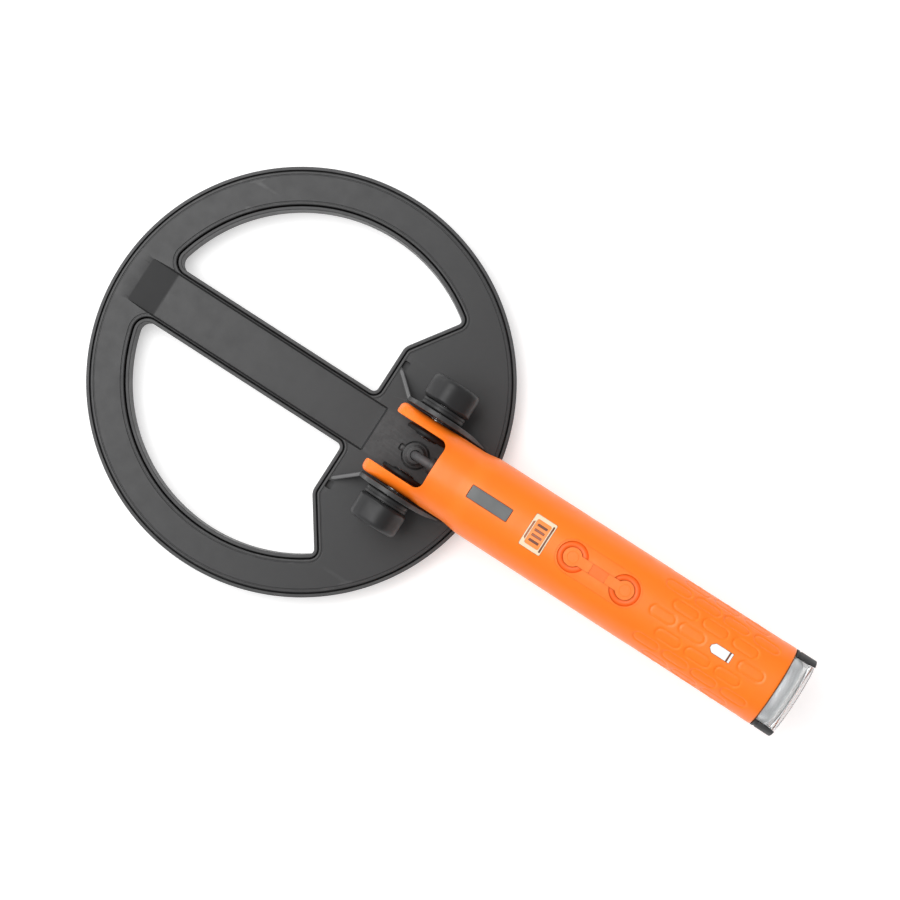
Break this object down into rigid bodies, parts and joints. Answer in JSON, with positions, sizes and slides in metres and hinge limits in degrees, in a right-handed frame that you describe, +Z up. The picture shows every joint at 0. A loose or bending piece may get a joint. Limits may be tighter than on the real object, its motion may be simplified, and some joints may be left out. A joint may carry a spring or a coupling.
{
  "type": "metal detector",
  "caption": "Compact diver's metal detector: round search coil with a centre bar, tilting tube handle on a clamped fork, thumb knobs, buttons and tail lamp",
  "frame": {"origin": "the coil's centre, on the flat underside of its centre bar", "axes": "+X from the coil's centre towards the handle's tail, +Z up out of the coil's upper face, +Y to the left of the handle"},
  "size_m": [0.363, 0.2, 0.079],
  "materials": {
    "cover": "fine matt texture",
    "shell": "satin moulded plastic",
    "resin": "cast resin",
    "copper": "enamelled copper wire",
    "knob": "satin moulded plastic",
    "rubber": "matt",
    "steel": "satin",
    "housing": "satin moulded plastic",
    "keypad": "matt silicone",
    "window_grey": "satin",
    "bezel": "satin",
    "bar": "satin",
    "window_white": "milky",
    "board": "solder mask",
    "inner_black": "matt",
    "cell": "shrink sleeve",
    "collar": "satin",
    "lens": "clear polycarbonate",
    "lamp": "clear epoxy"
  },
  "bodies": {
    "coil": {"coil_skid_cover": "cover", "coil_base_plate": "shell", "coil_potting": "resin", "coil_top_shell": "shell", "coil_winding": "copper", "lead_boss": "shell", "search_lead": "rubber", "knob_collar_left": "knob", "knob_collar_right": "knob", "friction_washer_left": "rubber", "friction_washer_right": "rubber"},
    "handle": {"nut_plate_left": "knob", "nut_plate_right": "knob", "clamp_nut_left": "steel", "clamp_nut_right": "steel", "handle_housing": "housing", "display_window": "window_grey", "gauge_bezel": "bezel", "gauge_panel": "keypad", "gauge_bar_1": "bar", "gauge_bar_2": "bar", "gauge_bar_3": "bar", "gauge_bar_4": "bar", "keypad_frame": "keypad", "lamp_window": "window_white", "circuit_board": "board", "switch_power": "inner_black", "switch_mode": "inner_black", "battery_cell": "cell", "battery_cradle": "inner_black", "vibration_motor": "steel", "buzzer": "inner_black", "lead_gland": "rubber", "tail_collar": "collar", "tail_oring_1": "rubber", "tail_oring_2": "rubber", "tail_lens": "lens", "lamp_board": "board", "tail_lamp": "lamp"},
    "knob_left": {"thumb_knob_left": "knob", "clamp_bolt_left": "steel"},
    "knob_right": {"thumb_knob_right": "knob", "clamp_bolt_right": "steel"},
    "key_power": {"button_power": "keypad"},
    "key_mode": {"button_mode": "keypad"}
  },
  "joints": [
    {"name": "handle_tilt", "type": "hinge", "parent": "coil", "child": "handle", "pos_m": [0.063, 0, 0.0355], "axis": [0, -1, 0], "range_deg": [-10, 173], "deforming": ["search_lead"]},
    {"name": "knob_left_turn", "type": "hinge", "parent": "handle", "child": "knob_left", "pos_m": [0.063, 0, 0.0355], "axis": [0, 1, 0], "range_deg": [0, 720]},
    {"name": "knob_right_turn", "type": "hinge", "parent": "handle", "child": "knob_right", "pos_m": [0.063, 0, 0.0355], "axis": [0, -1, 0], "range_deg": [0, 720]},
    {"name": "power_press", "type": "hinge", "parent": "handle", "child": "key_power", "pos_m": [0.15465, 0, 0.06529], "axis": [0, -1, 0], "range_deg": [0, 3.6], "stiffness_Nm_per_rad": 0.4},
    {"name": "mode_press", "type": "hinge", "parent": "handle", "child": "key_mode", "pos_m": [0.16279, 0, 0.06629], "axis": [0, 1, 0], "range_deg": [0, 3.6], "stiffness_Nm_per_rad": 0.4}
  ]
}
